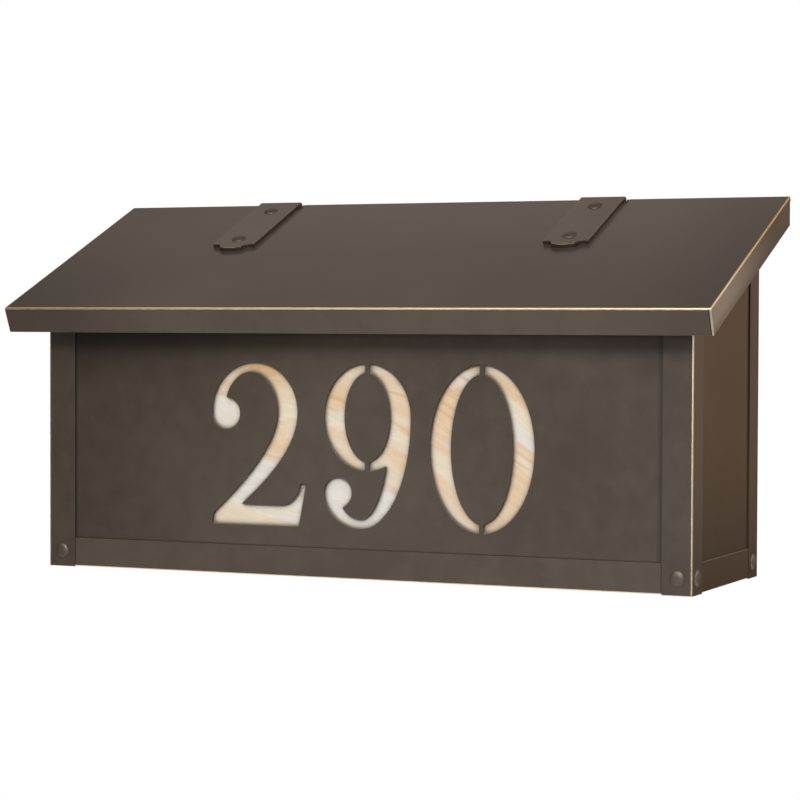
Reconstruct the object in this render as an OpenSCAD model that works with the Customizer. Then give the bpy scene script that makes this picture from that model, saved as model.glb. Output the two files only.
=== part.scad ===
// Wall mounted mailbox in patinated sheet brass: a riveted box of sheet panels behind angle
// posts and rails, a sloped lid on two strap hinges, and a cut house number over opal glass.
// Axes: +X right, +Y into the wall, +Z up. Origin: centre of the four wall screws, on the wall.

/* [Body] */
// Width over the corner posts
body_w = 434; // [420:1:460]
// Depth from the wall to the face of the front posts
body_d = 139; // [130:1:150]
// Gap between the back plate and the wall, which the spacers keep
wall_gap = 6.5; // [6:0.1:8]
// Height of the wall screw pattern's centre above the bottom of the posts
mount_h = 115; // [105:1:120]
// Sheet thickness of the front, side and floor panels
panel_t = 1.2; // [1:0.1:1.5]
// Sheet thickness of the back plate
back_t = 1.5; // [1.2:0.1:2]
// Length of the lip folded in along the top of the front panel
lip_len = 10; // [6:1:14]
// Diameter of the drain holes in the floor
drain_d = 5; // [4:0.5:8]

/* [Posts and rails] */
// Width of each leg of the corner posts
post_leg = 18.8; // [16:0.1:22]
// Thickness of the posts
post_t = 0.8; // [0.8:0.1:1.6]
// Height of the bottom rails
rail_h = 18.2; // [16:0.1:22]
// Thickness of the rails
rail_t = 0.6; // [0.5:0.1:0.8]
// Height of the rails' underside above the bottom of the posts
rail_lift = 0.6; // [0.4:0.1:1.2]

/* [Lid] */
// Width over the side flanges
lid_w = 470; // [465:1:500]
// Overhang of the front fold past the front posts
lid_overhang = 25.5; // [22:0.5:32]
// Height of the front fold above the bottom of the posts
lid_front_z = 166.6; // [160:0.2:172]
// Slope of the lid, in degrees
slope = 23.4; // [20:0.1:26]
// Depth of the folded flanges, square to the lid
flange_h = 17; // [14:0.5:20]
// Sheet thickness of the lid
lid_t = 1.2; // [1:0.1:1.2]
// Gap between the closed lid and the top of the box
lid_gap = 0.4; // [0.4:0.1:1]

/* [Hinges] */
// Middle of the left strap, from the middle of the box
left_hinge_x = -118; // [-130:0.5:-100]
// Middle of the right strap, from the middle of the box
right_hinge_x = 113; // [100:0.5:130]
// Width of a strap
strap_w = 29.8; // [26:0.1:32]
// Thickness of a strap
strap_t = 2.6; // [2.2:0.1:2.8]
// Length of a strap from the lid's back edge to the ears at its front end
strap_len = 77.2; // [74:0.1:90]
// Diameter of the hinge pins
pin_d = 2.5; // [2.4:0.1:2.6]
// Distance from the wall to the pins' axis
pin_from_wall = 5.2; // [5.2:0.1:6]
// Height of a hinge bracket's plate
bracket_h = 38; // [32:1:45]

/* [Rivets] */
// Diameter of the rivet heads
rivet_head_d = 9.6; // [8:0.1:10]
// Height of the domed heads on the posts
post_dome_h = 1.4; // [1:0.1:2.5]
// Height of the low heads on the straps
strap_dome_h = 1.4; // [1:0.1:1.6]
// Diameter of the shanks
shank_d = 4.8; // [4:0.1:5]

/* [House number] */
// Height of the cut figures
figure_h = 101.6; // [95:0.1:104]
// Height of the figures' foot above the bottom of the posts
figure_z = 31.4; // [29:0.1:34]
// Width of the stencil bridges that hold the figures' middles
bridge_w = 2.7; // [2:0.1:4]
// Thickness of the glass behind the figures
glass_t = 3; // [2.5:0.1:4]
// Margin of glass around the figures
glass_margin = 11; // [10:1:12]

/* [Wall screws] */
// Distance between the screws across the wall
screw_dx = 355.6; // [340:0.1:370]
// Distance between the screws up the wall
screw_dz = 127; // [115:1:135]
// Diameter of the screw holes
screw_hole_d = 5.2; // [4.5:0.1:6]
// Diameter of the spacers on the screws
spacer_d = 14; // [12:0.5:18]

/* [Hidden] */
$fn = 72;

// How far a cutting shape runs past the surface it cuts.
past = 1;

// Where the panels stand behind the posts and rails.
panel_x = body_w / 2 - post_t;
panel_y = -(body_d - post_t);
inside_x = panel_x - panel_t;
inside_y = panel_y + panel_t;
floor_z = rail_lift + rail_t;
// The two faces of the back plate, and the front face of the back posts' inner legs.
back_y = -wall_gap;
back_in_y = back_y - back_t;
back_leg_y = back_in_y - post_t;
// The rails stand this far behind the faces of the posts.
rail_back = post_t - rail_t;
post_inner = body_w / 2 - post_leg;

// The hinge: the pins lie just under the lid's top plane.
pin_r = pin_d / 2;
bore_clear = 0.05;
pin_depth = pin_r + bore_clear;
barrel_r = pin_depth + strap_t;
pin_y = -pin_from_wall;
lid_front_y = -(body_d + lid_overhang);
function lid_top(y) = lid_front_z + (y - lid_front_y) * tan(slope);
pin_z = lid_top(pin_y) - pin_depth / cos(slope);
// Nothing behind the pins may reach further out from their axis than this.
wall_clear = 0.35;
swing_r = pin_from_wall - wall_clear;
lid_front_u = -(pin_y - lid_front_y) / cos(slope) + pin_depth * tan(slope);
lid_back_u = sqrt(pow(swing_r, 2) - pow(pin_depth, 2));
lid_back_y = pin_y + lid_back_u * cos(slope) - pin_depth * sin(slope);
strap_front_u = lid_back_u - strap_len;

// The top of the box: it follows the lid, then stays level behind the hinge line.
body_top_z = pin_z - swing_r - 0.5;
under_lid = (lid_t + lid_gap) / cos(slope);
function body_top(y) = lid_top(y) - under_lid;
knee_y = lid_front_y + (body_top_z + under_lid - lid_front_z) / tan(slope);

// The hinge bracket: two lugs beside the strap.
lug_t = 1.6;
lug_gap = 0.3;
lug_r = 4;
lug_foot = 12;
lug_x = strap_w / 2 + lug_gap;
// The lugs fill the lid's notches and end this far inside its top and its back edge.
lug_sunk = 0.1;
bracket_t = 1.5;
pin_fit = 0.02;
notch_half = lug_x + lug_t + lug_gap;
notch_u = -(lug_r + lug_gap);
strap_rivet_u = [lid_back_u - 18.2, lid_back_u - 68.4];
bracket_rivet_drop = [12, 28];

// The strap's front end: an ear each side, a hollow step and a shallow tongue.
ear_w = 2.4;
step_r = 4.8;
tongue_len = 6.2;
tongue_r = 30;

// Rivets.
rivet_in = 9.3;
rivet_up = 10.1;
shank_r = shank_d / 2;
shank_fit = 0.05;
tail_r = 3.9;
tail_h = 1.2;

// Figures: the left edge of each, and the widths of their strokes.
figure_x = [-99.5, -20.3, 50.6];
two_w = 67;
nine_w = 58.4;
zero_w = 68;
thick = 14;
thin = 6;
ball_r = 10;

// Glass clips.
clip_w = 8;
clip_t = 0.8;
clip_foot = 9;
clip_lip = 6;
clip_gap = 0.1;
clip_pitch = 84;
glass_x0 = figure_x[0] - glass_margin;
glass_x1 = figure_x[2] + zero_w + glass_margin;
glass_z0 = figure_z - glass_margin;
glass_z1 = figure_z + figure_h + glass_margin;
glass_mid = (glass_x0 + glass_x1) / 2;

// Floor pan.
pan_lip_h = 14;
drain_in_x = 30;
drain_in_y = 24;

bronze = [0.33, 0.29, 0.26];
bronze_side = [0.36, 0.30, 0.24];
bronze_light = [0.42, 0.37, 0.32];
opal = [0.93, 0.88, 0.79];

// ---------- helpers ----------

// Moves a part from the box's own height to the origin at the wall screws.
module hung() translate([0, 0, -mount_h]) children();

// Extrudes an outline drawn in Y and Z from x0 to x1.
module along_x(x0, x1) translate([x0, 0, 0]) rotate([90, 0, 90]) linear_extrude(x1 - x0) children();

// Extrudes an outline drawn in X and Z from y0 back to y1.
module along_y(y0, y1) translate([0, y1, 0]) rotate([90, 0, 0]) linear_extrude(y1 - y0) children();

// A block between two corners.
module block(low, high) translate(low) cube(high - low);

// The lid's own frame: origin on the pins' axis, Y up the slope, Z square to the lid.
module on_lid() translate([0, pin_y, pin_z]) rotate([slope, 0, 0]) children();

// Everything that stays under the closed lid.
module below_lid() {
  far = body_d + past;
  along_x(-lid_w, lid_w)
    polygon([[-far, -past], [past, -past], [past, body_top_z], [knee_y, body_top_z], [-far, body_top(-far)]]);
}

// A rivet along Z: domed head above z = 0, shank down through grip, flat tail below.
module rivet(dome_h, grip) {
  head_r = rivet_head_d / 2;
  dome_r = (pow(head_r, 2) + pow(dome_h, 2)) / (2 * dome_h);
  rotate_extrude() union() {
    intersection() {
      translate([0, dome_h - dome_r]) circle(dome_r);
      square([head_r, dome_h]);
    }
    translate([0, -grip]) square([shank_r, grip]);
    translate([0, -grip - tail_h]) square([tail_r, tail_h]);
  }
}

// Points of a part of an ellipse, from angle a0 to a1.
function arc(c, r, a0, a1, steps = 36) =
  [for (i = [0 : steps]) let (a = a0 + (a1 - a0) * i / steps) [c[0] + r[0] * cos(a), c[1] + r[1] * sin(a)]];

// Points of a curve that leaves p0 and reaches p2, pulled towards p1.
function bend(p0, p1, p2, steps = 20) =
  [for (i = [0 : steps]) let (s = i / steps) pow(1 - s, 2) * p0 + 2 * s * (1 - s) * p1 + s * s * p2];

// The list from its end to its start.
function back_to_front(points) = [for (i = [len(points) - 1 : -1 : 0]) points[i]];

// ---------- figures ----------

// An oval ring: thick at its sides and thin at its top and bottom.
module ring(c, r) difference() {
  polygon(arc(c, r, 0, 360 - 5, 71));
  polygon(arc(c, [r[0] - thick, r[1] - thin], 0, 360 - 5, 71));
}

// A bridge across a ring at the height z.
module bridge(x, z) translate([x - bridge_w / 2, z - thin]) square([bridge_w, 2 * thin]);

module figure_two() {
  bowl = [30, 31];
  c = [31, figure_h - bowl[1]];
  foot_h = 13;
  right = c[0] + bowl[0];
  outer = arc(c, bowl, 180, 0);
  inner = arc([c[0] - 2.5, c[1]], [bowl[0] - thick + 2.5, bowl[1] - thin], 0, 180);
  stem_out = bend([right, c[1]], [right, 46], [22, foot_h]);
  stem_in = bend([2, 7], [right - thick, 47], [right - thick, c[1]]);
  union() {
    polygon(concat(outer, stem_out, stem_in, inner));
    translate([ball_r + 1, c[1] - 1]) circle(ball_r);
    polygon(concat(
      [[1, 0], [62, 0], [two_w, 27], [two_w - 4, 27]],
      bend([two_w - 5, 22], [57, foot_h], [50, foot_h], 8),
      [[22, foot_h], [2, 7]]
    ));
  }
}

module figure_nine() {
  loop = [nine_w / 2, 33];
  c = [loop[0], figure_h - loop[1]];
  tail_c = [25, 22];
  tail_ball_r = 9.5;
  difference() {
    union() {
      ring(c, loop);
      polygon(concat(
        arc([tail_c[0], c[1]], [nine_w - tail_c[0], c[1]], 0, -90),
        arc(tail_c, tail_c, -90, -180, 18),
        arc(tail_c, [tail_c[0] - 10, tail_c[1] - thin], -180, -90, 18),
        arc([tail_c[0], c[1]], [nine_w - tail_c[0] - thick, c[1] - thin], -90, 0)
      ));
      translate([tail_ball_r, tail_c[1]]) circle(tail_ball_r);
    }
    bridge(c[0], figure_h - thin / 2);
    bridge(c[0], c[1] - loop[1] + thin / 2);
  }
}

module figure_zero() {
  r = [zero_w / 2, figure_h / 2];
  difference() {
    ring(r, r);
    bridge(r[0], figure_h - thin / 2);
    bridge(r[0], thin / 2);
  }
}

module figures() {
  translate([figure_x[0], figure_z]) figure_two();
  translate([figure_x[1], figure_z]) figure_nine();
  translate([figure_x[2], figure_z]) figure_zero();
}

// ---------- box ----------

module back_plate() color(bronze) difference() {
  block([-body_w / 2, back_in_y, 0], [body_w / 2, back_y, body_top_z]);
  at_screws() cylinder(h = 4 * wall_gap, d = screw_hole_d, center = true);
  for (x = [left_hinge_x, right_hinge_x], drop = bracket_rivet_drop)
    translate([x, back_y, body_top_z - drop]) rotate([90, 0, 0])
      cylinder(h = 4 * back_t, r = shank_r + shank_fit, center = true);
}

// One copy at each wall screw, with Z along the screw, out of the wall.
module at_screws() for (x = [-1, 1], z = [-1, 1])
  translate([x * screw_dx / 2, 0, mount_h + z * screw_dz / 2]) rotate([90, 0, 0]) children();

module wall_spacers() color(bronze_side) at_screws() difference() {
  cylinder(h = wall_gap, d = spacer_d);
  cylinder(h = 4 * wall_gap, d = screw_hole_d, center = true);
}

module front_panel() {
  lip_x = inside_x - 0.3;
  run = lip_len * [cos(slope), sin(slope)];
  down = panel_t * [sin(slope), -cos(slope)];
  fold = [panel_y, body_top(panel_y)];
  color(bronze) difference() {
    union() {
      intersection() {
        block([-panel_x, panel_y, floor_z], [panel_x, inside_y, body_top_z]);
        below_lid();
      }
      along_x(-lip_x, lip_x) polygon([fold, fold + run, fold + run + down, fold + down]);
    }
    along_y(panel_y - past, inside_y + past) figures();
    for (x = [-1, 1]) translate([x * (body_w / 2 - rivet_in), panel_y, rivet_up]) rotate([90, 0, 0])
      cylinder(h = 4 * panel_t, r = shank_r + shank_fit, center = true);
  }
}

// A side panel, drawn for the right side; side = -1 puts it on the left.
module side_panel(side) {
  color(bronze_side) on_side(side) difference() {
    intersection() {
      block([inside_x, inside_y, floor_z], [panel_x, back_leg_y, body_top_z]);
      below_lid();
    }
    for (y = [-(body_d - rivet_in), back_y - rivet_in]) translate([panel_x, y, rivet_up]) rotate([0, 90, 0])
      cylinder(h = 4 * panel_t, r = shank_r + shank_fit, center = true);
  }
}

// Leaves a part on the right, or mirrors it to the left.
module on_side(side) {
  if (side > 0) children();
  else mirror([1, 0, 0]) children();
}

module floor_panel() {
  lip_x = post_inner - 0.5;
  color(bronze) difference() {
    union() {
      block([-inside_x, inside_y, floor_z], [inside_x, back_leg_y, floor_z + panel_t]);
      block([-lip_x, back_in_y - panel_t, floor_z], [lip_x, back_in_y, floor_z + pan_lip_h]);
      block([-lip_x, back_leg_y - past, floor_z], [lip_x, back_in_y, floor_z + panel_t]);
    }
    for (x = [-1, 1], y = [inside_y + drain_in_y, back_in_y - drain_in_y])
      translate([x * (inside_x - drain_in_x), y, 0]) cylinder(h = 2 * pan_lip_h, d = drain_d, center = true);
  }
}

// A front post: two legs that meet at the box's corner.
module front_post(side) color(bronze) on_side(side) difference() {
  intersection() {
    union() {
      block([post_inner, -body_d, 0], [body_w / 2, panel_y, body_top_z]);
      block([panel_x, -body_d, 0], [body_w / 2, -(body_d - post_leg), body_top_z]);
    }
    below_lid();
  }
  translate([body_w / 2 - rivet_in, -body_d, rivet_up]) rotate([90, 0, 0])
    cylinder(h = 4 * post_t, r = shank_r + shank_fit, center = true);
  translate([body_w / 2, -(body_d - rivet_in), rivet_up]) rotate([0, 90, 0])
    cylinder(h = 4 * post_t, r = shank_r + shank_fit, center = true);
}

// A back post: its second leg lies inside, against the back plate.
module back_post(side) color(bronze_side) on_side(side) difference() {
  intersection() {
    union() {
      block([panel_x, back_y - post_leg, 0], [body_w / 2, back_in_y, body_top_z]);
      block([post_inner, back_leg_y, 0], [body_w / 2, back_in_y, body_top_z]);
    }
    below_lid();
  }
  translate([body_w / 2, back_y - rivet_in, rivet_up]) rotate([0, 90, 0])
    cylinder(h = 4 * post_t, r = shank_r + shank_fit, center = true);
}

module front_rail() {
  y0 = -body_d + rail_back;
  leg = post_leg - rail_back;
  color(bronze) union() {
    block([-post_inner, y0, rail_lift], [post_inner, panel_y, rail_lift + rail_h]);
    block([-post_inner, y0, rail_lift], [post_inner, y0 + leg, floor_z]);
  }
}

module side_rail(side) {
  x1 = body_w / 2 - rail_back;
  y0 = -(body_d - post_leg);
  y1 = back_y - post_leg;
  color(bronze_side) on_side(side) union() {
    block([panel_x, y0, rail_lift], [x1, y1, rail_lift + rail_h]);
    block([post_inner, y0, rail_lift], [x1, y1, floor_z]);
  }
}

module front_post_rivets() color(bronze_light)
  for (x = [-1, 1]) translate([x * (body_w / 2 - rivet_in), -body_d, rivet_up]) rotate([90, 0, 0])
    rivet(post_dome_h, post_t + panel_t);

module side_post_rivets(side) color(bronze_light) on_side(side)
  for (y = [-(body_d - rivet_in), back_y - rivet_in]) translate([body_w / 2, y, rivet_up]) rotate([0, 90, 0])
    rivet(post_dome_h, post_t + panel_t);

module number_glass() color(opal)
  block([glass_x0, inside_y, glass_z0], [glass_x1, inside_y + glass_t, glass_z1]);

// A bent tab: its foot lies on the panel and its lip holds the glass's edge.
module clip() {
  top = glass_t + clip_gap + clip_t;
  edge = 0.3;
  along_x(-clip_w / 2, clip_w / 2) polygon([
    [0, edge], [0, edge + clip_foot], [clip_t, edge + clip_foot], [clip_t, edge + clip_t],
    [top, edge + clip_t], [top, -clip_lip], [top - clip_t, -clip_lip], [top - clip_t, edge]
  ]);
}

module glass_clips() color(bronze_light) for (k = [-1 : 1]) {
  translate([glass_mid + k * clip_pitch, inside_y, glass_z1]) clip();
  translate([glass_mid + k * clip_pitch, inside_y, glass_z0]) mirror([0, 0, 1]) clip();
}

// ---------- hinges ----------

// A hinge lug, from x0 on: round in front of the pin, and cut level with the closed lid.
module lug(x0) {
  top = pin_depth - lug_sunk;
  translate([x0, pin_y, pin_z]) rotate([slope, 0, 0]) intersection() {
    union() {
      rotate([0, 90, 0]) cylinder(h = lug_t, r = lug_r);
      block([0, 0, 0], [lug_t, lid_back_u - lug_sunk, top]);
    }
    block([0, -2 * lug_r, -2 * lug_r], [lug_t, 2 * lug_r, top]);
  }
  block([x0, back_y, body_top_z - lug_foot], [x0 + lug_t, pin_y + lug_r, pin_z]);
}

// A hinge bracket: a plate behind the back plate with two lugs that hold the pin.
module hinge_bracket(x) {
  half = lug_x + lug_t;
  low = body_top_z - bracket_h;
  color(bronze) translate([x, 0, 0]) difference() {
    union() {
      block([-half, back_y, low], [half, back_y + bracket_t, body_top_z]);
      for (x0 = [-half, lug_x]) lug(x0);
    }
    translate([0, pin_y, pin_z]) rotate([0, 90, 0])
      cylinder(h = 4 * half, r = pin_r + pin_fit, center = true);
    for (drop = bracket_rivet_drop) translate([0, back_y, body_top_z - drop]) rotate([90, 0, 0])
      cylinder(h = 4 * bracket_t, r = shank_r + shank_fit, center = true);
  }
}

// The brackets' rivets: low heads inside the box, flat tails behind the brackets' plates.
module bracket_rivets() color(bronze_light)
  for (x = [left_hinge_x, right_hinge_x], drop = bracket_rivet_drop)
    translate([x, back_in_y, body_top_z - drop]) rotate([90, 0, 0])
      rivet(strap_dome_h, back_t + bracket_t);

// A hinge pin: it runs through the strap's barrel and ends flush with both lugs.
module hinge_pin(x) color(bronze_light) translate([x, pin_y, pin_z]) rotate([0, 90, 0])
  cylinder(h = 2 * (lug_x + lug_t), r = pin_r, center = true);

// The outline of a strap, in the plane of the lid.
module strap_outline() {
  half = strap_w / 2;
  step_x = half - ear_w;
  difference() {
    union() {
      translate([-half, strap_front_u]) square([strap_w, lid_back_u - strap_front_u]);
      intersection() {
        translate([-step_x, strap_front_u - tongue_len]) square([2 * step_x, 2 * tongue_len]);
        translate([0, strap_front_u - tongue_len + tongue_r]) circle(tongue_r);
      }
    }
    for (s = [-1, 1]) translate([s * step_x, strap_front_u - step_r]) circle(step_r);
  }
}

// A strap: its plate is rounded off at the back, where it swings past the wall.
module hinge_strap(x) color(bronze) translate([x, 0, 0]) on_lid() difference() {
  union() {
    intersection() {
      translate([0, 0, pin_depth]) linear_extrude(strap_t) strap_outline();
      union() {
        block([-strap_w, -2 * strap_len, 0], [strap_w, 0, 2 * barrel_r]);
        rotate([0, 90, 0]) cylinder(h = 2 * strap_w, r = swing_r, center = true);
      }
    }
    rotate([0, 90, 0]) cylinder(h = strap_w, r = barrel_r, center = true);
  }
  rotate([0, 90, 0]) cylinder(h = 2 * strap_w, r = pin_depth, center = true);
  for (u = strap_rivet_u) translate([0, u, 0])
    cylinder(h = 4 * barrel_r, r = shank_r + shank_fit, center = true);
}

module strap_rivets(x) color(bronze_light) translate([x, 0, 0]) on_lid()
  for (u = strap_rivet_u) translate([0, u, barrel_r]) rivet(strap_dome_h, strap_t + lid_t);

// ---------- lid ----------

// The lid: one folded sheet, open at the wall side, notched round the hinges.
module lid_shell() {
  under = pin_depth - lid_t;
  low = pin_depth - flange_h;
  half = lid_w / 2;
  color(bronze) difference() {
    union() {
      on_lid() block([-half, lid_front_u, under], [half, lid_back_u, pin_depth]);
      on_lid() block([-half, lid_front_u, low], [half, lid_front_u + lid_t, pin_depth]);
      for (x0 = [-half, half - lid_t]) difference() {
        on_lid() block([x0, lid_front_u, low], [x0 + lid_t, lid_back_u, pin_depth]);
        block([-lid_w, lid_back_y, 0], [lid_w, flange_h, pin_z]);
      }
    }
    on_lid() for (x = [left_hinge_x, right_hinge_x]) {
      block([x - notch_half, notch_u, -flange_h], [x + notch_half, lid_back_u + past, flange_h]);
      for (u = strap_rivet_u) translate([x, u, 0])
        cylinder(h = 4 * barrel_r, r = shank_r + shank_fit, center = true);
    }
  }
}

hung() back_plate();
hung() front_panel();
hung() side_panel(-1);  // left_side_panel
hung() side_panel(1);  // right_side_panel
hung() floor_panel();
hung() front_post(-1);  // front_left_post
hung() front_post(1);  // front_right_post
hung() back_post(-1);  // back_left_post
hung() back_post(1);  // back_right_post
hung() front_rail();
hung() side_rail(-1);  // left_rail
hung() side_rail(1);  // right_rail
hung() front_post_rivets();
hung() side_post_rivets(-1);  // left_post_rivets
hung() side_post_rivets(1);  // right_post_rivets
hung() number_glass();
hung() glass_clips();
hung() wall_spacers();
hung() hinge_bracket(left_hinge_x);  // left_hinge_bracket
hung() hinge_bracket(right_hinge_x);  // right_hinge_bracket
hung() bracket_rivets();
hung() hinge_pin(left_hinge_x);  // left_hinge_pin
hung() hinge_pin(right_hinge_x);  // right_hinge_pin
hung() lid_shell();
hung() hinge_strap(left_hinge_x);  // left_hinge_strap
hung() hinge_strap(right_hinge_x);  // right_hinge_strap
hung() strap_rivets(left_hinge_x);  // left_strap_rivets
hung() strap_rivets(right_hinge_x);  // right_strap_rivets
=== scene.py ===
"""A wall mounted mailbox in patinated brass.

The CAD's sheet metal with rounded folds and worn edges, turned rivets, opal glass and soft studio light.
"""

import math
from collections import namedtuple

import bmesh
import bpy
from mathutils import Matrix, Vector, noise


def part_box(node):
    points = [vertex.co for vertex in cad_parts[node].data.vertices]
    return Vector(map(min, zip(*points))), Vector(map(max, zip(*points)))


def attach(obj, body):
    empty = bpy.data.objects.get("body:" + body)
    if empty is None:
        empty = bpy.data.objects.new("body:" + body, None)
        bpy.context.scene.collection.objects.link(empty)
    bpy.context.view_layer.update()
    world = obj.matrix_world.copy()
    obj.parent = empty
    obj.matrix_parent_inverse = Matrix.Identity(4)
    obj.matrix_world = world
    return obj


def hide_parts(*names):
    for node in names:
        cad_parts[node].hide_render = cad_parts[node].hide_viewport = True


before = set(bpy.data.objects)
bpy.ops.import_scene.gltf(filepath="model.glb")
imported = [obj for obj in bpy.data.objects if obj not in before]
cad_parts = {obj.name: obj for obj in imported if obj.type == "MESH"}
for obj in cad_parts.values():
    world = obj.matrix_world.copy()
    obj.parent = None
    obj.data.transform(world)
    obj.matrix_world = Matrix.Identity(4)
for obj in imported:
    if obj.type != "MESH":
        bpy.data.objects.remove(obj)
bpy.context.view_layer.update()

MM = 0.001

# A straight edge: a point on it, its direction, the radius it is softened to, how far the patina is rubbed
# away on each side of it, and how completely.
Edge = namedtuple("Edge", "point way radius reach strength")

# A band along a line that differs in colour from the patina: a point on the line, its direction, how far
# the band reaches, how far from the line it is even, its colour and strength, and the least |x| at which it
# shows.
Stripe = namedtuple("Stripe", "point way reach core colour strength outside", defaults=(0.0,))

ALONG_X = Vector((1, 0, 0))
ALONG_Y = Vector((0, 1, 0))
ALONG_Z = Vector((0, 0, 1))


# ---------- materials ----------


class Tree:
    """The nodes of one procedural material."""

    def __init__(self, name):
        self.material = bpy.data.materials.new(name)
        self.material.use_nodes = True
        self.tree = self.material.node_tree
        self.tree.nodes.clear()
        self.place = self.add("ShaderNodeTexCoord").outputs["Object"]

    def add(self, kind, inputs=(), **settings):
        """Adds a node. An input is a value or another node's output."""
        node = self.tree.nodes.new(kind)
        for key, value in settings.items():
            setattr(node, key, value)
        for key, value in dict(inputs).items():
            if isinstance(value, bpy.types.NodeSocket):
                self.tree.links.new(value, node.inputs[key])
            else:
                node.inputs[key].default_value = value
        return node

    def math(self, operation, a, b=0.0, clamp=False):
        node = self.add("ShaderNodeMath", {0: a, 1: b}, operation=operation, use_clamp=clamp)
        return node.outputs[0]

    def vector(self, operation, a, b=(0, 0, 0), result="Vector"):
        return self.add("ShaderNodeVectorMath", {0: a, 1: b}, operation=operation).outputs[result]

    def noise(self, place, size, detail=2.0, roughness=0.5):
        """Noise from 0 to 1 whose largest features are about `size` metres."""
        inputs = {"Vector": place, "Scale": 1 / size, "Detail": detail, "Roughness": roughness}
        return self.add("ShaderNodeTexNoise", inputs).outputs["Fac"]

    def ramp(self, value, low, high):
        """A smooth step from 0 at low to 1 at high."""
        inputs = {"Value": value, "From Min": low, "From Max": high}
        return self.add("ShaderNodeMapRange", inputs, interpolation_type="SMOOTHSTEP").outputs[0]

    def span(self, value, low, high):
        """Stretches 0..1 to low..high."""
        inputs = {"Value": value, "To Min": low, "To Max": high}
        return self.add("ShaderNodeMapRange", inputs).outputs[0]

    def blend(self, amount, a, b):
        """A mix of two colours."""
        node = self.add("ShaderNodeMix", data_type="RGBA")
        sockets = [s for s in node.inputs if s.enabled]
        for socket, value in zip(sockets, (amount, a, b)):
            if isinstance(value, bpy.types.NodeSocket):
                self.tree.links.new(value, socket)
            else:
                socket.default_value = value
        return [s for s in node.outputs if s.enabled][0]

    def bump(self, height, distance, strength=1.0, normal=None):
        inputs = {"Height": height, "Distance": distance, "Strength": strength}
        if normal:
            inputs["Normal"] = normal
        return self.add("ShaderNodeBump", inputs).outputs[0]

    def finish(self, inputs):
        """Ends in a Principled shader with these inputs."""
        shader = self.add("ShaderNodeBsdfPrincipled", inputs)
        self.add("ShaderNodeOutputMaterial", {"Surface": shader.outputs[0]})
        return self.material


def rgb(r, g, b):
    """An opaque colour."""
    return (r, g, b, 1.0)


# The patina's own colours and what shows where it is rubbed away; a grey that is partly rubbing and partly
# a painted highlight; and paler and darker colours painted as light and shade, the darkest also drawing
# dark seams.
PATINA_DARK = rgb(0.066, 0.052, 0.042)
PATINA = rgb(0.086, 0.069, 0.055)
PATINA_LIGHT = rgb(0.108, 0.088, 0.071)
BRASS = rgb(0.95, 0.79, 0.54)
DEEP_BRASS = rgb(0.62, 0.42, 0.19)
AMBER_BRASS = rgb(0.44, 0.28, 0.13)
GREY_RUB_AND_HIGHLIGHT = rgb(0.44, 0.42, 0.41)
PALE_PATINA_AND_LIGHT = rgb(0.20, 0.168, 0.142)
LID_SHADE = rgb(0.040, 0.030, 0.023)
DARK_SEAM_AND_SHADE = rgb(0.010, 0.008, 0.007)

# How the patina's colour is multiplied on the pieces that face forward, on the sides and on the straps.
FRONT_TINT = (1.0, 1.0, 1.0)
# The sides' warmer tint is a painted reflection of warm light from behind on the right.
SIDE_TINT = (1.12, 0.96, 0.79)
STRAP_TINT = (1.03, 0.98, 1.02)

# The size of the patina's features, and how much each counts toward its colour.
CLOUD = 120 * MM
CLOUD_PART = 0.5
MOTTLE = 14 * MM
MOTTLE_PART = 0.38
GRAIN = 0.9 * MM
GRAIN_PART = 0.12
# Below the first sum of these the patina is dark, and above the second it is light.
DARK_UP_TO = 0.36
LIGHT_FROM = 0.64
# How far that is drawn back toward one even colour.
EVENNESS = 0.5

# How metallic the patina is, and how much is added where it is rubbed through.
PATINA_METAL = 0.6
BRASS_METAL = 0.4
# The mottling makes the patina smoother and rougher by this much, and a band weaker and stronger.
SMOOTHER = 0.04
ROUGHER = 0.05
UNEVENNESS = 0.3
# How much smoother bare brass is.
POLISH = 0.06
# The bare brass darkens toward the wall and the lid's left end; that is partly a painted shade where the
# edges' highlights fade.
# The gold is deepest from the wall to this part of the box's depth, where 1 is the front.
DEEP_TO = 0.3
# How deep the gold is at the lid's left end, where 1 is the gold beside the wall.
LEFT_GOLD = 0.75
# The painted shade on a piece's side walls begins this far below its top, and is fullest from here.
WALL_START = 0.2 * MM
WALL_FULL = 0.7 * MM
# The size of the surface's waves, and the depth of its waves, pits and grain.
WAVE = 90 * MM
WAVE_DEPTH = 0.10 * MM
PIT_DEPTH = 0.015 * MM
GRAIN_DEPTH = 0.006 * MM


def away_from(tree, place, line):
    """The distance from a line, in metres."""
    offset = tree.vector("SUBTRACT", place, line.point)
    square = tree.vector("CROSS_PRODUCT", offset, line.way)
    return tree.vector("LENGTH", square, result="Value")


# The size of the notches in a rubbed border and how deep they are, then the size of the patches that are
# rubbed more and less and by how much.
RAG = 5 * MM
RAGGEDNESS = 0.3
PATCH = 60 * MM
PATCHINESS = 0.15
# The brass is bare from the edge to this part of the border's distance.
BARE_TO = 0.6


def rubbed(tree, place, edges):
    """How far the patina is rubbed off near the edges, from 0 to 1, with a ragged border."""
    ragged = tree.noise(place, RAG, 4, 0.6)
    patchy = tree.noise(place, PATCH, 2)
    total = 0.0
    for edge in edges:
        border = tree.span(ragged, (1 + RAGGEDNESS) * edge.reach, (1 - RAGGEDNESS) * edge.reach)
        bare = tree.ramp(tree.math("DIVIDE", away_from(tree, place, edge), border), 1.0, BARE_TO)
        weak = (1 - PATCHINESS) * edge.strength
        strong = (1 + PATCHINESS) * edge.strength
        here = tree.span(patchy, weak, strong)
        total = tree.math("MAXIMUM", total, tree.math("MULTIPLY", bare, here, clamp=True))
    return total


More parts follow.
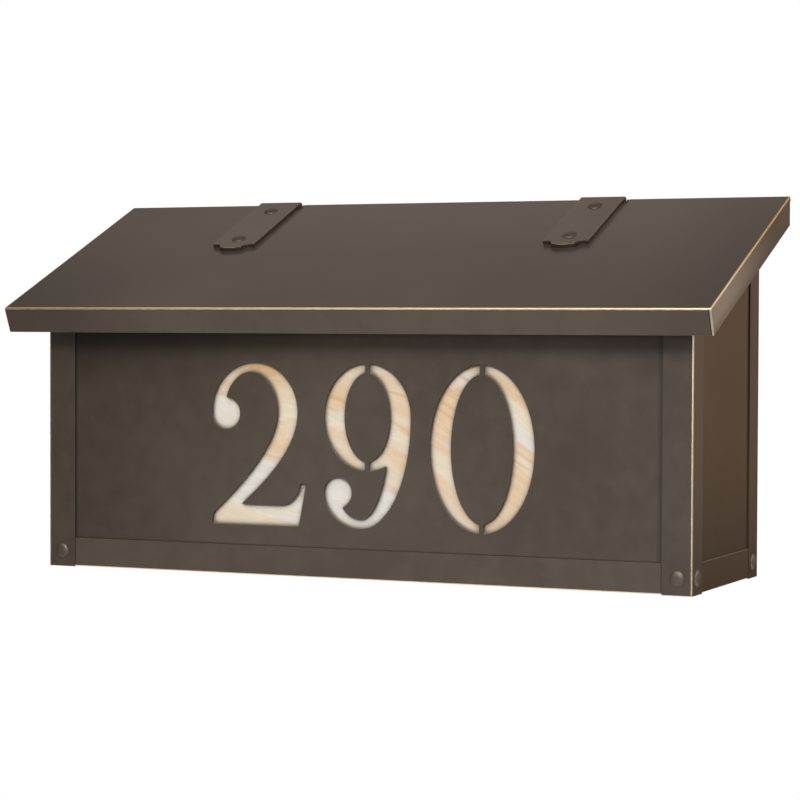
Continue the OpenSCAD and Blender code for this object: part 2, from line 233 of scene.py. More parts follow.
def bronze(name, edges=(), stripes=(), shaded_walls=None, tint=FRONT_TINT, tone=1.0, roughness=0.38, seed=0.0):
    """Brown patina over brass: clouded and mottled, rubbed through to bare brass along its edges.

    The bare brass is a deeper, darker gold toward the wall and the left end, partly a painted shade where
    the edges' highlights fade. The side walls' painted shade is given as a point on a piece's top face, the
    way out of that face, and how dark it is below that face. seed shifts the pattern.
    """
    tree = Tree(name)
    place = tree.vector("ADD", tree.place, (seed, 1.7 * seed, 2.3 * seed))
    cloud = tree.noise(place, CLOUD, 3)
    mottle = tree.noise(place, MOTTLE, 5, 0.6)
    grain = tree.noise(place, GRAIN, 2)
    mix = tree.math("MULTIPLY", cloud, CLOUD_PART)
    mix = tree.math("ADD", mix, tree.math("MULTIPLY", mottle, MOTTLE_PART))
    mix = tree.math("ADD", mix, tree.math("MULTIPLY", grain, GRAIN_PART))
    light = tree.ramp(mix, DARK_UP_TO, LIGHT_FROM)
    clouded = tree.blend(EVENNESS, tree.blend(light, PATINA_DARK, PATINA_LIGHT), PATINA)
    colour = tree.vector("MULTIPLY", clouded, [tone * part for part in tint])
    # Painted shade on the side walls below the top face.
    if shaded_walls:
        top, outward, darkness = shaded_walls
        offset = tree.vector("SUBTRACT", tree.place, top)
        level = tree.vector("DOT_PRODUCT", offset, outward, result="Value")
        below = tree.ramp(level, -WALL_START, -WALL_FULL)
        colour = tree.blend(tree.math("MULTIPLY", below, darkness), colour, DARK_SEAM_AND_SHADE)
    parts = tree.add("ShaderNodeSeparateXYZ", {0: tree.place})
    side_distance = tree.math("ABSOLUTE", parts.outputs["X"])
    for stripe in stripes:
        near = tree.ramp(away_from(tree, tree.place, stripe), stripe.reach, stripe.core)
        if stripe.outside:
            near = tree.math("MULTIPLY", near, tree.math("GREATER_THAN", side_distance, stripe.outside))
        weak = (1 - UNEVENNESS) * stripe.strength
        strong = (1 + UNEVENNESS) * stripe.strength
        uneven = tree.span(mottle, weak, strong)
        colour = tree.blend(tree.math("MULTIPLY", near, uneven, clamp=True), colour, stripe.colour)
    rough = tree.span(mottle, roughness - SMOOTHER, roughness + ROUGHER)
    metallic = PATINA_METAL
    if edges:
        worn = rubbed(tree, tree.place, edges)
        fringe = tree.math("MULTIPLY", worn, 2.0, clamp=True)
        # Partly painted shade: the bare brass is darker and deeper toward the wall and the left end.
        wallward = tree.ramp(parts.outputs["Y"], front_y, DEEP_TO * front_y)
        leftward = tree.math("MULTIPLY", tree.ramp(parts.outputs["X"], 0.0, -half_lid), LEFT_GOLD)
        bare = tree.blend(tree.math("MAXIMUM", wallward, leftward), BRASS, DEEP_BRASS)
        colour = tree.blend(worn, tree.blend(fringe, colour, AMBER_BRASS), bare)
        metallic = tree.math("ADD", tree.math("MULTIPLY", worn, BRASS_METAL), PATINA_METAL)
        rough = tree.math("SUBTRACT", rough, tree.math("MULTIPLY", worn, POLISH))
    waves = tree.bump(tree.noise(place, WAVE, 1), WAVE_DEPTH)
    pits = tree.bump(mottle, PIT_DEPTH, normal=waves)
    normal = tree.bump(grain, GRAIN_DEPTH, normal=pits)
    return tree.finish({
        "Base Color": colour, "Metallic": metallic, "Roughness": rough, "Normal": normal,
    })


GLASS_WHITE = rgb(0.66, 0.64, 0.61)
GLASS_CREAM = rgb(0.68, 0.62, 0.52)
GLASS_PEACH = rgb(0.66, 0.52, 0.38)
GLASS_AMBER = rgb(0.62, 0.36, 0.13)
# A painted shade for the glass beside the cut edges.
GLASS_EDGE_SHADE = rgb(0.16, 0.13, 0.10)

# The width of the glass's bands and streaks and the size of its patches, and how much each counts toward
# its warmth.
BAND = 24 * MM
BAND_PART = 0.70
STREAK = 6 * MM
STREAK_PART = 0.15
GLASS_PATCH = 50 * MM
GLASS_PATCH_PART = 0.15
# Where the warmth turns white glass to cream, and cream to peach.
CREAM_FROM = 0.43
CREAM_TO = 0.50
PEACH_FROM = 0.50
PEACH_TO = 0.58
# How far apart the veins are, how wide they are in steps of the noise that draws them, and how strong.
VEIN = 16 * MM
VEIN_WIDTH = 0.06
VEIN_STRENGTH = 0.5
# A vein shows only where another noise of its size is above these.
SHOWN_FROM = 0.47
SHOWN_TO = 0.62
# The size of the swirls in the bands, and how far they lift them.
SWIRL = 60 * MM
SWIRL_RISE = 8 * MM
# How steep the bands are, and how much steeper they get toward the right.
BAND_SLOPE = 0.22
BAND_CURVE = 2.4
# How far from a cut edge the painted shade reaches, how open a spot is where it is darkest, and how dark it
# is there.
EDGE_SHADE_REACH = 5 * MM
EDGE_SHADE_OPENNESS = 0.55
EDGE_SHADE_DEPTH = 0.85
# How far light scatters in the glass, and the size and depth of its surface's waves.
SCATTER = 3.2 * MM
GLASS_WAVE = 8 * MM
GLASS_WAVE_DEPTH = 0.02 * MM


def opal_glass(name):
    """Opalescent glass: cream white with peach bands and short amber veins, steeper toward the right.

    Shade is painted beside the edges of the cut figures, darkest where the panel hems the glass in.
    """
    tree = Tree(name)
    parts = tree.add("ShaderNodeSeparateXYZ", {0: tree.place})
    x, z = parts.outputs["X"], parts.outputs["Z"]
    rightward = tree.math("MAXIMUM", x, 0.0)
    steeper = tree.math("MULTIPLY", tree.math("POWER", rightward, 2.0), BAND_CURVE)
    tilt = tree.math("ADD", tree.math("MULTIPLY", x, BAND_SLOPE), steeper)
    swirl = tree.span(tree.noise(tree.place, SWIRL, 2), -SWIRL_RISE, SWIRL_RISE)
    across = tree.math("ADD", tree.math("ADD", z, tilt), swirl)

    def drawn_out(stretch, layer):
        """Coordinates that change slowly along the bands. Each layer has a pattern of its own."""
        along = tree.math("MULTIPLY", x, stretch)
        return tree.add("ShaderNodeCombineXYZ", {"X": along, "Y": layer, "Z": across}).outputs[0]

    bands = tree.noise(drawn_out(0.10, 0.37), BAND, 2, 0.5)
    streaks = tree.noise(drawn_out(0.22, 0.81), STREAK, 3, 0.6)
    patches = tree.noise(tree.place, GLASS_PATCH, 2)
    warmth = tree.math("MULTIPLY", bands, BAND_PART)
    warmth = tree.math("ADD", warmth, tree.math("MULTIPLY", patches, GLASS_PATCH_PART))
    warmth = tree.math("ADD", warmth, tree.math("MULTIPLY", streaks, STREAK_PART))
    colour = tree.blend(tree.ramp(warmth, CREAM_FROM, CREAM_TO), GLASS_WHITE, GLASS_CREAM)
    colour = tree.blend(tree.ramp(warmth, PEACH_FROM, PEACH_TO), colour, GLASS_PEACH)
    flow = tree.noise(drawn_out(0.06, 0.52), VEIN, 1)
    ridge = tree.math("ABSOLUTE", tree.math("SUBTRACT", flow, 0.5))
    shown = tree.ramp(tree.noise(tree.place, VEIN, 1), SHOWN_FROM, SHOWN_TO)
    vein = tree.math("MULTIPLY", tree.ramp(ridge, VEIN_WIDTH, 0.0), shown)
    colour = tree.blend(tree.math("MULTIPLY", vein, VEIN_STRENGTH), colour, GLASS_AMBER)
    # Painted shade: the glass darkens where the panel's cut edges hem it in.
    shelter = tree.add("ShaderNodeAmbientOcclusion", {"Distance": EDGE_SHADE_REACH}, samples=16)
    sheltered = tree.ramp(shelter.outputs["AO"], 1.0, EDGE_SHADE_OPENNESS)
    edge_shade = tree.math("MULTIPLY", sheltered, EDGE_SHADE_DEPTH)
    colour = tree.blend(edge_shade, colour, GLASS_EDGE_SHADE)
    rough = tree.span(streaks, 0.22, 0.32)
    normal = tree.bump(tree.noise(tree.place, GLASS_WAVE, 2), GLASS_WAVE_DEPTH)
    return tree.finish({
        "Base Color": colour, "Roughness": rough, "Normal": normal, "IOR": 1.5,
        "Subsurface Weight": 0.9, "Subsurface Radius": (1.0, 0.8, 0.6), "Subsurface Scale": SCATTER,
    })


PAPER = rgb(0.86, 0.86, 0.85)
PAPER_LIGHT = rgb(0.90, 0.90, 0.89)
TOOTH = 40 * MM
TOOTH_DEPTH = 0.1 * MM


def studio_white(name):
    """The floor: pale paper with a faint tooth."""
    tree = Tree(name)
    tooth = tree.noise(tree.place, TOOTH, 3)
    colour = tree.blend(tooth, PAPER, PAPER_LIGHT)
    normal = tree.bump(tooth, TOOTH_DEPTH)
    return tree.finish({"Base Color": colour, "Roughness": 0.9, "Normal": normal})


# ---------- sheet metal pieces ----------

# Corners closer than this are one corner.
WELD = 0.002 * MM
# A corner this close to a line lies on it.
ON_LINE = 0.05 * MM
# Faces that meet at less than FLAT are one face, and those that meet at more than CREASE have an edge.
FLAT = math.radians(0.3)
CREASE = math.radians(25)
# Edges whose direction's cosine is above this run the same way.
PARALLEL = 0.999
BEVEL_STEPS = 3


def welded(node):
    """A clean copy of a CAD node: its split corners welded and its flat faces joined."""
    shape = bmesh.new()
    shape.from_mesh(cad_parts[node].data)
    bmesh.ops.remove_doubles(shape, verts=shape.verts, dist=WELD)
    bmesh.ops.dissolve_limit(shape, angle_limit=FLAT, verts=shape.verts, edges=shape.edges)
    return shape


def lies_on(edge, line):
    """Whether both ends of a mesh edge are on the line."""
    return all((v.co - line.point).cross(line.way).length < ON_LINE for v in edge.verts)


def softened(node, name, body, material, edges=(), cut=0.25 * MM, across=None):
    """Stands for a CAD node: the same sheet metal with its folds rounded and its cut edges eased.

    The listed edges are rounded to their own radius, and the others to cut. across is a direction, and the
    radius of the edges that run along it.
    """
    shape = welded(node)
    weight = shape.edges.layers.float.new("bevel_weight_edge")
    way, way_radius = across or (ALONG_Y, cut)
    widest = max([cut, way_radius] + [e.radius for e in edges])
    for edge in shape.edges:
        turn = edge.calc_face_angle_signed(0)
        run = (edge.verts[1].co - edge.verts[0].co).normalized()
        runs_across = bool(across) and abs(run.dot(way)) > PARALLEL
        edge.smooth = turn > -CREASE or runs_across
        if turn > CREASE or (runs_across and turn < -CREASE):
            plain = way_radius if runs_across else cut
            radius = next((e.radius for e in edges if lies_on(edge, e)), plain)
            edge[weight] = radius / widest
    mesh = bpy.data.meshes.new(name)
    shape.to_mesh(mesh)
    shape.free()
    mesh.shade_smooth()
    mesh.materials.append(material)
    piece = bpy.data.objects.new(name, mesh)
    bpy.context.scene.collection.objects.link(piece)
    bevel = piece.modifiers.new("Eased edges", "BEVEL")
    bevel.limit_method = "WEIGHT"
    bevel.width = widest
    bevel.segments = BEVEL_STEPS
    bevel.use_clamp_overlap = False
    normals = piece.modifiers.new("Flat faces", "WEIGHTED_NORMAL")
    normals.keep_sharp = True
    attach(piece, body)
    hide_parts(node)
    return piece


# The lid's top plane, from the shape itself: it runs from the front fold, which is the lid's furthest point
# from the wall, up to the crest, which is its highest.
lid_corners = [v.co.copy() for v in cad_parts["lid_shell"].data.vertices]
lid_low, lid_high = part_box("lid_shell")
fold = min(lid_corners, key=lambda c: c.y)
crest = max(lid_corners, key=lambda c: c.z)
up_slope = Vector((0, crest.y - fold.y, crest.z - fold.z)).normalized()
square_off = Vector((0, up_slope.z, -up_slope.y))
half_lid = lid_high.x
box_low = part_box("front_left_post")[0]
half_box = -box_low.x
front_y = box_low.y
bottom_z = box_low.z
# The radius of the lid's folds and of its front corners, its flanges' width and its sheet's thickness.
FOLD_R = 0.9 * MM
CORNER_R = 0.3 * MM
FLANGE = 17 * MM
SHEET = 1.2 * MM
# How far inside an outer face a band stops, so that it shows on that face alone.
SKIN = 0.3 * MM


def lid_edges():
    """The lid's front fold and slopes, which are worn bright, and the ends and hems of its flanges."""
    corner = {side: Vector((side * half_lid, fold.y, fold.z)) for side in (-1, 1)}
    edges = [Edge(corner[1], ALONG_X, FOLD_R, 1.2 * MM, 1.0)]
    for side in (-1, 1):
        edges.append(Edge(corner[side], up_slope, FOLD_R, 1.2 * MM, 1.0))
        edges.append(Edge(corner[side] + square_off * FLANGE, up_slope, 0.8 * MM, 0.3 * MM, 0.2))
    edges.append(Edge(corner[1], square_off, CORNER_R, 0.35 * MM, 0.3))
    edges.append(Edge(corner[-1], square_off, CORNER_R, 0.2 * MM, 0.05))
    edges.append(Edge(corner[1] + square_off * FLANGE, ALONG_X, 0.4 * MM, 0.3 * MM, 0.2))
    return edges


def lid_stripes():
    """A painted paler back half, painted shade at its ends, and the right flange's front end, rubbed grey
    and partly a painted highlight, with its seam.
    """
    corner = Vector((half_lid, fold.y, fold.z))
    far_corner = Vector((-half_lid, fold.y, fold.z))
    cut_edge = corner - 0.55 * SHEET * ALONG_X
    seam = corner - 1.35 * SHEET * ALONG_X
    back_edge = Vector((0, lid_high.y, lid_high.z))
    return [
        # Painted light: a paler back half for the sheen the lid catches there.
        Stripe(back_edge, ALONG_X, 180 * MM, 0.0, PALE_PATINA_AND_LIGHT, 0.33),
        # Painted shade: both ends of the lid and the left flange are darker.
        Stripe(corner, up_slope, 80 * MM, 0.0, LID_SHADE, 0.38),
        Stripe(far_corner, up_slope, 130 * MM, 0.0, LID_SHADE, 0.34),
        Stripe(far_corner, square_off, 110 * MM, 0.0, LID_SHADE, 0.30),
        # The right flange's front end and cut edge: rubbed grey and partly a painted highlight, back to
        # patina at the hem.
        Stripe(corner, square_off, 145 * MM, 20 * MM, GREY_RUB_AND_HIGHLIGHT, 0.85, half_lid - SKIN),
        Stripe(corner + square_off * FLANGE, up_slope, 9 * MM, 0.0, PATINA, 0.5, half_lid - SKIN),
        Stripe(cut_edge, square_off, 0.75 * MM, 0.5 * MM, GREY_RUB_AND_HIGHLIGHT, 0.8),
        Stripe(seam, square_off, 0.32 * MM, 0.2 * MM, DARK_SEAM_AND_SHADE, 1.0),
    ]


def make_lid():
    """The lid's one folded sheet."""
    edges = lid_edges()
    material = bronze("lid patina", edges, lid_stripes(), tone=1.06, seed=3.1)
    softened("lid_shell", "lid_sheet", "lid", material, edges, cut=0.1 * MM)


# Directions in the front panel's plane. Under the lid a painted shade is darkest along a line that rises
# from each end toward the middle.
LEFT_SHADE = Vector((1, 0, 0.15)).normalized()
RIGHT_SHADE = Vector((-1, 0, 0.25)).normalized()
# The middle of the painted lighter patch, a painted light, on the front panel and the rail below it.
LIT_MIDDLE_X = -20 * MM
# The radius of the edges that run through the front panel, such as the corners of the cut figures.
FIGURE_CORNER_R = 0.9 * MM


def front_panel_stripes(low):
    """Painted light on the lower middle and toward the right, painted shade under the lid, and dark seams
    along the posts and the rail with painted shade beside them.
    """
    rail_low, rail_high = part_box("front_rail")
    left_top = Vector((rail_low.x, low.y, lid_low.z))
    right_top = Vector((rail_high.x, low.y, lid_low.z))
    lit_middle = Vector((LIT_MIDDLE_X, low.y, rail_high.z))
    return [
        # Painted light: lighter toward the right and across the lower middle.
        Stripe(right_top, ALONG_Z, 300 * MM, 0.0, PALE_PATINA_AND_LIGHT, 0.09),
        Stripe(lit_middle, ALONG_Y, 190 * MM, 20 * MM, PALE_PATINA_AND_LIGHT, 0.32),
        # Painted shade under the lid.
        Stripe(left_top, LEFT_SHADE, 44 * MM, 4 * MM, DARK_SEAM_AND_SHADE, 0.58),
        Stripe(right_top, RIGHT_SHADE, 32 * MM, 4 * MM, DARK_SEAM_AND_SHADE, 0.30),
        # Dark seams beside the posts with painted shade, and the rail's painted shadow on the panel.
        Stripe(left_top, ALONG_Z, 2.5 * MM, 0.2 * MM, DARK_SEAM_AND_SHADE, 0.6),
        Stripe(right_top, ALONG_Z, 4.5 * MM, 0.2 * MM, DARK_SEAM_AND_SHADE, 0.42),
        Stripe(lit_middle, ALONG_X, 1.0 * MM, 0.2 * MM, DARK_SEAM_AND_SHADE, 0.5),
    ]


def side_panel_stripes(low, high):
    """A paler front edge and a darker foot."""
    outer_x = high.x if high.x > 0 else low.x
    front_edge = Vector((outer_x, low.y, 0))
    foot = Vector((outer_x, 0, low.z))
    return [
        Stripe(front_edge, ALONG_Z, 60 * MM, 19 * MM, PALE_PATINA_AND_LIGHT, 0.11),
        Stripe(foot, ALONG_Y, 150 * MM, 60 * MM, DARK_SEAM_AND_SHADE, 0.17),
    ]


def make_panels():
    """The box's flat sheets, with the cut figures in the front one."""
    tints = {
        "back_plate": SIDE_TINT, "front_panel": FRONT_TINT, "left_side_panel": SIDE_TINT,
        "right_side_panel": SIDE_TINT, "floor_panel": FRONT_TINT,
    }
    for seed, (node, tint) in enumerate(tints.items()):
        low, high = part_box(node)
        stripes = []
        if node == "front_panel":
            stripes = front_panel_stripes(low)
        elif node.endswith("side_panel"):
            stripes = side_panel_stripes(low, high)
        material = bronze(f"{node} patina", stripes=stripes, tint=tint, seed=5.3 + seed)
        figures = (ALONG_Y, FIGURE_CORNER_R) if node == "front_panel" else None
        softened(node, f"{node}_sheet", "box", material, cut=0.15 * MM, across=figures)


def make_posts():
    """Angle posts, worn at their feet.

    The front ones are worn along their corner and paler beside it, and the back ones have a dark seam where
    they meet the side panel.
    """
    nodes = ("front_left_post", "front_right_post", "back_left_post", "back_right_post")
    for seed, node in enumerate(nodes):
        low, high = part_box(node)
        outer_x = high.x if high.x > 0 else low.x
        edges = [Edge(Vector((outer_x, 0, low.z)), ALONG_Y, 0.35 * MM, 0.4 * MM, 0.5)]
        corner = Vector((outer_x, low.y, 0))
        bands = []
        if node.startswith("front"):
            edges.append(Edge(corner, ALONG_Z, 0.9 * MM, 1.15 * MM, 1.0))
            edges.append(Edge(Vector((0, low.y, low.z)), ALONG_X, 0.35 * MM, 0.45 * MM, 0.8))
            side_face = half_box - 0.1 * MM
            bands.append(Stripe(corner, ALONG_Z, 30 * MM, 18 * MM, PALE_PATINA_AND_LIGHT, 0.42, side_face))
            tint = FRONT_TINT
        else:
            bands.append(Stripe(corner, ALONG_Z, 0.7 * MM, 0.3 * MM, DARK_SEAM_AND_SHADE, 0.62))
            tint = SIDE_TINT
        material = bronze(f"{node} patina", edges, bands, tint=tint, tone=1.08, seed=11.7 + seed)
        softened(node, f"{node}_angle", "box", material, edges, cut=0.1 * MM)


def make_rails():
    """Angle rails, worn along the bottom. The front one has dark seams at its ends, partly painted shade,
    and a painted lighter middle, and the side ones have a painted grey highlight along their tops.
    """
    low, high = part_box("front_rail")
    edges = [Edge(Vector((0, low.y, low.z)), ALONG_X, 0.6 * MM, 0.7 * MM, 0.9)]
    # Dark seams at the rail's ends, partly painted shade where it meets the posts.
    bands = [
        Stripe(Vector((x, low.y, 0)), ALONG_Z, 0.9 * MM, 0.3 * MM, DARK_SEAM_AND_SHADE, 0.7)
        for x in (low.x, high.x)
    ]
    # Painted light: a lighter middle, as on the panel above.
    lit_middle = Vector((LIT_MIDDLE_X, low.y, low.z))
    bands.append(Stripe(lit_middle, ALONG_Y, 150 * MM, 20 * MM, PALE_PATINA_AND_LIGHT, 0.14))
    material = bronze("front rail patina", edges, bands, tone=1.33, seed=17.9)
    softened("front_rail", "front_rail_angle", "box", material, edges, cut=0.1 * MM)
    for side, node in ((-1, "left_rail"), (1, "right_rail")):
        low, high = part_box(node)
        outer_x = high.x if side > 0 else low.x
        edges = [Edge(Vector((outer_x, 0, low.z)), ALONG_Y, 0.6 * MM, 0.6 * MM, 0.8)]
        top = Vector((outer_x, 0, high.z))
        # A painted highlight along the side rails' top edge.
        top_highlight = [Stripe(top, ALONG_Y, 0.6 * MM, 0.3 * MM, GREY_RUB_AND_HIGHLIGHT, 0.5)]
        material = bronze(f"{node} patina", edges, top_highlight, tint=SIDE_TINT, tone=1.25, seed=19.3 + side)
        softened(node, f"{node}_angle", "box", material, edges, cut=0.1 * MM)


def make_straps():
    """Hinge straps, with painted shade on their cut sides and a light touch of wear round the front end."""
    for seed, node in enumerate(("left_hinge_strap", "right_hinge_strap")):
        low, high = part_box(node)
        corners = [v.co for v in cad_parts[node].data.vertices]
        top = max(corners, key=lambda c: -c.dot(square_off))
        tip = min(corners, key=lambda c: c.dot(up_slope))
        end = top + up_slope * (tip - top).dot(up_slope)
        edges = [
            Edge(end, ALONG_X, 0.25 * MM, 0.45 * MM, 0.4),
            Edge(Vector((high.x, top.y, top.z)), up_slope, 0.25 * MM, 0.45 * MM, 0.10),
            Edge(Vector((low.x, top.y, top.z)), up_slope, 0.25 * MM, 0.45 * MM, 0.07),
        ]
        shaded_walls = (top, -square_off, 0.6)
        name = f"{node} patina"
        material = bronze(name, edges, shaded_walls=shaded_walls, tint=STRAP_TINT, tone=1.5, seed=23.1 + seed)
        softened(node, f"{node}_plate", "lid", material, cut=0.1 * MM)


# How many flat sides stand for a circle, and the size of a rivet's shank and tail.
RIVET_STEPS = 48
SHANK_R = 2.4 * MM
TAIL_R = 3.9 * MM
TAIL_H = 1.2 * MM
TAIL_EASE = 0.2 * MM
# Faces of a rivet that meet at less than this are shaded smoothly.
RIVET_CREASE = math.radians(40)
# The exponents of the head's outline: a button, with a full shoulder and a flattened crown.
CROWN = 2.6
SHOULDER = 0.62


def rivet_profile(head_r, head_h, grip):
    """Radius and height, from the crown of the head to the middle of the tail."""
    rings = [0.0, 0.12, 0.25, 0.38, 0.5, 0.61, 0.71, 0.79, 0.86, 0.91, 0.95, 0.98, 1.0]
    head = [(head_r * r, head_h * (1 - r ** CROWN) ** SHOULDER) for r in rings]
    low = -grip - TAIL_H
    slight = 0.3 * TAIL_EASE
    tail = [
        (SHANK_R, 0), (SHANK_R, -grip), (TAIL_R, -grip), (TAIL_R, low + TAIL_EASE),
        (TAIL_R - slight, low + slight), (TAIL_R - TAIL_EASE, low), (0, low),
    ]
    return head + tail


def turned(shape, centre, axis, profile):
    """Adds the profile, turned round the axis through the centre, to the mesh."""
    spin = axis.to_track_quat("Z", "Y")
    rings = []
    for radius, height in profile:
        if radius == 0:
            rings.append([shape.verts.new(centre + spin @ Vector((0, 0, height)))] * RIVET_STEPS)
            continue
        turns = [2 * math.pi * i / RIVET_STEPS for i in range(RIVET_STEPS)]
        round_it = [Vector((radius * math.cos(t), radius * math.sin(t), height)) for t in turns]
        rings.append([shape.verts.new(centre + spin @ at) for at in round_it])
    for ring, lower in zip(rings, rings[1:]):
        for i in range(RIVET_STEPS):
            j = (i + 1) % RIVET_STEPS
            corners = list(dict.fromkeys((ring[i], lower[i], lower[j], ring[j])))
            shape.faces.new(corners)


def islands(node):
    """The corner points of each separate solid of a CAD node, always in the same order."""
    shape = welded(node)
    waiting = dict.fromkeys(shape.verts)
    groups = []
    while waiting:
        start = next(iter(waiting))
        del waiting[start]
        front = [start]
        group = []
        while front:
            vert = front.pop()
            group.append(vert.co.copy())
            for edge in vert.link_edges:
                other = edge.other_vert(vert)
                if other in waiting:
                    del waiting[other]
                    front.append(other)
        groups.append(group)
    shape.free()

    def place(group):
        return [round(min(c[i] for c in group), 4) for i in range(3)]

    return sorted(groups, key=place)


def make_rivets():
    """Button headed rivets, turned to each CAD rivet's own size, place and axis."""
    outward = {
        "front_post_rivets": ("box", -ALONG_Y),
        "left_post_rivets": ("box", -ALONG_X),
        "right_post_rivets": ("box", ALONG_X),
        "bracket_rivets": ("box", -ALONG_Y),
        "left_strap_rivets": ("lid", -square_off),
        "right_strap_rivets": ("lid", -square_off),
    }
    for seed, (node, (body, axis)) in enumerate(outward.items()):
        shape = bmesh.new()
        for points in islands(node):
            along = [c.dot(axis) for c in points]
            middle = sum((c - axis * c.dot(axis) for c in points), Vector()) / len(points)
            wide = [(c - axis * c.dot(axis) - middle).length for c in points]
            head_r = max(wide)
            foot = max(a for a, w in zip(along, wide) if w > head_r - ON_LINE)
            grip = foot - min(along) - TAIL_H
            turned(shape, middle + axis * foot, axis, rivet_profile(head_r, max(along) - foot, grip))
        bmesh.ops.recalc_face_normals(shape, faces=shape.faces)
        for edge in shape.edges:
            edge.smooth = abs(edge.calc_face_angle(0)) < RIVET_CREASE
        mesh = bpy.data.meshes.new(f"{node}_set")
        shape.to_mesh(mesh)
        shape.free()
        mesh.shade_smooth()
        # The side rivets are painted much lighter: a painted highlight for the light they catch there.
        tone = 2.4 if node in ("left_post_rivets", "right_post_rivets") else 1.15
        roughness = 0.5 if "strap" in node else 0.45
        material = bronze(f"{node} patina", tone=tone, roughness=roughness, seed=29.7 + seed)
        mesh.materials.append(material)
        piece = bpy.data.objects.new(f"{node}_set", mesh)
        bpy.context.scene.collection.objects.link(piece)
        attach(piece, body)
        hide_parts(node)


def make_fittings():
    """The small parts inside the box and behind it."""
    nodes = (
        "glass_clips", "wall_spacers", "left_hinge_bracket", "right_hinge_bracket", "left_hinge_pin",
        "right_hinge_pin",
    )
    for seed, node in enumerate(nodes):
        material = bronze(f"{node} patina", tone=1.15, roughness=0.4, seed=41.3 + seed)
        softened(node, f"{node}_part", "box", material, cut=0.05 * MM)


# ---------- glass ----------


# How far the glass's front face stands behind the panel, and how far in its edges are rounded.
GLASS_GAP = 0.8 * MM
RIM = 0.6 * MM
# How deep its faces ripple, how many times a metre each way, and how many rims in from an edge that begins.
RIPPLE = 0.12 * MM
RIPPLES_ACROSS = 55
RIPPLES_UP = 90
CALM_RIMS = 6
# How many columns and rows of faces it has between its rims.
COLUMNS = 90
ROWS = 48


def grid_lines(low, high, rim, count):
    """Positions from low to high: close together over the rounded rim, then even."""
    ease = [rim * f for f in (0, 0.1, 0.3, 0.6, 1.0)]
    inner_low, inner_high = low + rim, high - rim
    even = [inner_low + (inner_high - inner_low) * i / count for i in range(1, count)]
    return [low + e for e in ease] + even + [high - e for e in reversed(ease)]


def make_glass():
    """A sheet of rolled glass: its edges are seamed round and its faces ripple slightly."""
    low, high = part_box("number_glass")
    low.y += GLASS_GAP
    xs = grid_lines(low.x, high.x, RIM, COLUMNS)
    zs = grid_lines(low.z, high.z, RIM, ROWS)
    shape = bmesh.new()

    def inset(x, z):
        """How far the face lies inside the sheet's flat faces."""
        edge = min(x - low.x, high.x - x, z - low.z, high.z - z)
        near = max(0.0, RIM - edge)
        rounding = RIM - math.sqrt(max(0.0, RIM * RIM - near * near))
        wave = 0.5 + 0.5 * noise.noise(Vector((x * RIPPLES_ACROSS, 0, z * RIPPLES_UP)))
        return rounding + RIPPLE * wave * min(1.0, edge / (CALM_RIMS * RIM))

    front = [[shape.verts.new((x, low.y + inset(x, z), z)) for z in zs] for x in xs]
    back = [[shape.verts.new((x, high.y - inset(x, z), z)) for z in zs] for x in xs]
    for i in range(len(xs) - 1):
        for j in range(len(zs) - 1):
            shape.faces.new((front[i][j], front[i + 1][j], front[i + 1][j + 1], front[i][j + 1]))
            shape.faces.new((back[i][j], back[i][j + 1], back[i + 1][j + 1], back[i + 1][j]))
    outline = (
        [(i, 0) for i in range(len(xs))]
        + [(len(xs) - 1, j) for j in range(1, len(zs))]
        + [(i, len(zs) - 1) for i in range(len(xs) - 2, -1, -1)]
        + [(0, j) for j in range(len(zs) - 2, 0, -1)]
    )
    for (a, b), (c, d) in zip(outline, outline[1:] + outline[:1]):
        shape.faces.new((front[a][b], back[a][b], back[c][d], front[c][d]))
    bmesh.ops.recalc_face_normals(shape, faces=shape.faces)
    mesh = bpy.data.meshes.new("opal_glass_sheet")
    shape.to_mesh(mesh)
    shape.free()
    mesh.shade_smooth()
    mesh.materials.append(opal_glass("opal glass"))
    piece = bpy.data.objects.new("opal_glass_sheet", mesh)
    bpy.context.scene.collection.objects.link(piece)
    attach(piece, "box")
    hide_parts("number_glass")


# ---------- studio ----------

# The camera's lens and sensor in millimetres, its angles, its distance, and the point that it looks at.
FOCAL = 113.76
SENSOR = 36.0
VIEW_YAW = math.radians(24.213)
VIEW_PITCH = math.radians(-1.778)
VIEW_ROLL = math.radians(0.185)
DISTANCE = 1.6059
AIM_X = 1.6 * MM
AIM_Z = -6.2 * MM
# The lights' distance, the strength of the light from all round, and the floor's size and depth.
LIGHT_DISTANCE = 2.4
FILL = 0.02
FLOOR_R = 1.5
FLOOR_DROP = 0.5
WHITE = rgb(1, 1, 1)


def make_camera():
    """The camera stands to the right of the box, nearly level with it."""
    middle_y = (front_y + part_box("back_plate")[1].y) / 2
    aim = Vector((AIM_X, middle_y, AIM_Z))
    level = Vector((-math.sin(VIEW_YAW), math.cos(VIEW_YAW), 0))
    forward = level * math.cos(VIEW_PITCH) + ALONG_Z * math.sin(VIEW_PITCH)
    right = forward.cross(ALONG_Z).normalized()
    up = right.cross(forward)
    tipped_right = right * math.cos(VIEW_ROLL) + up * math.sin(VIEW_ROLL)
    tipped_up = up * math.cos(VIEW_ROLL) - right * math.sin(VIEW_ROLL)
    turn = Matrix((tipped_right, tipped_up, -forward)).transposed().to_4x4()
    data = bpy.data.cameras.new("camera")
    data.lens = FOCAL
    data.sensor_width = SENSOR
    camera = bpy.data.objects.new("camera", data)
    camera.matrix_world = Matrix.Translation(aim - forward * DISTANCE) @ turn
    bpy.context.scene.collection.objects.link(camera)
    bpy.context.scene.camera = camera


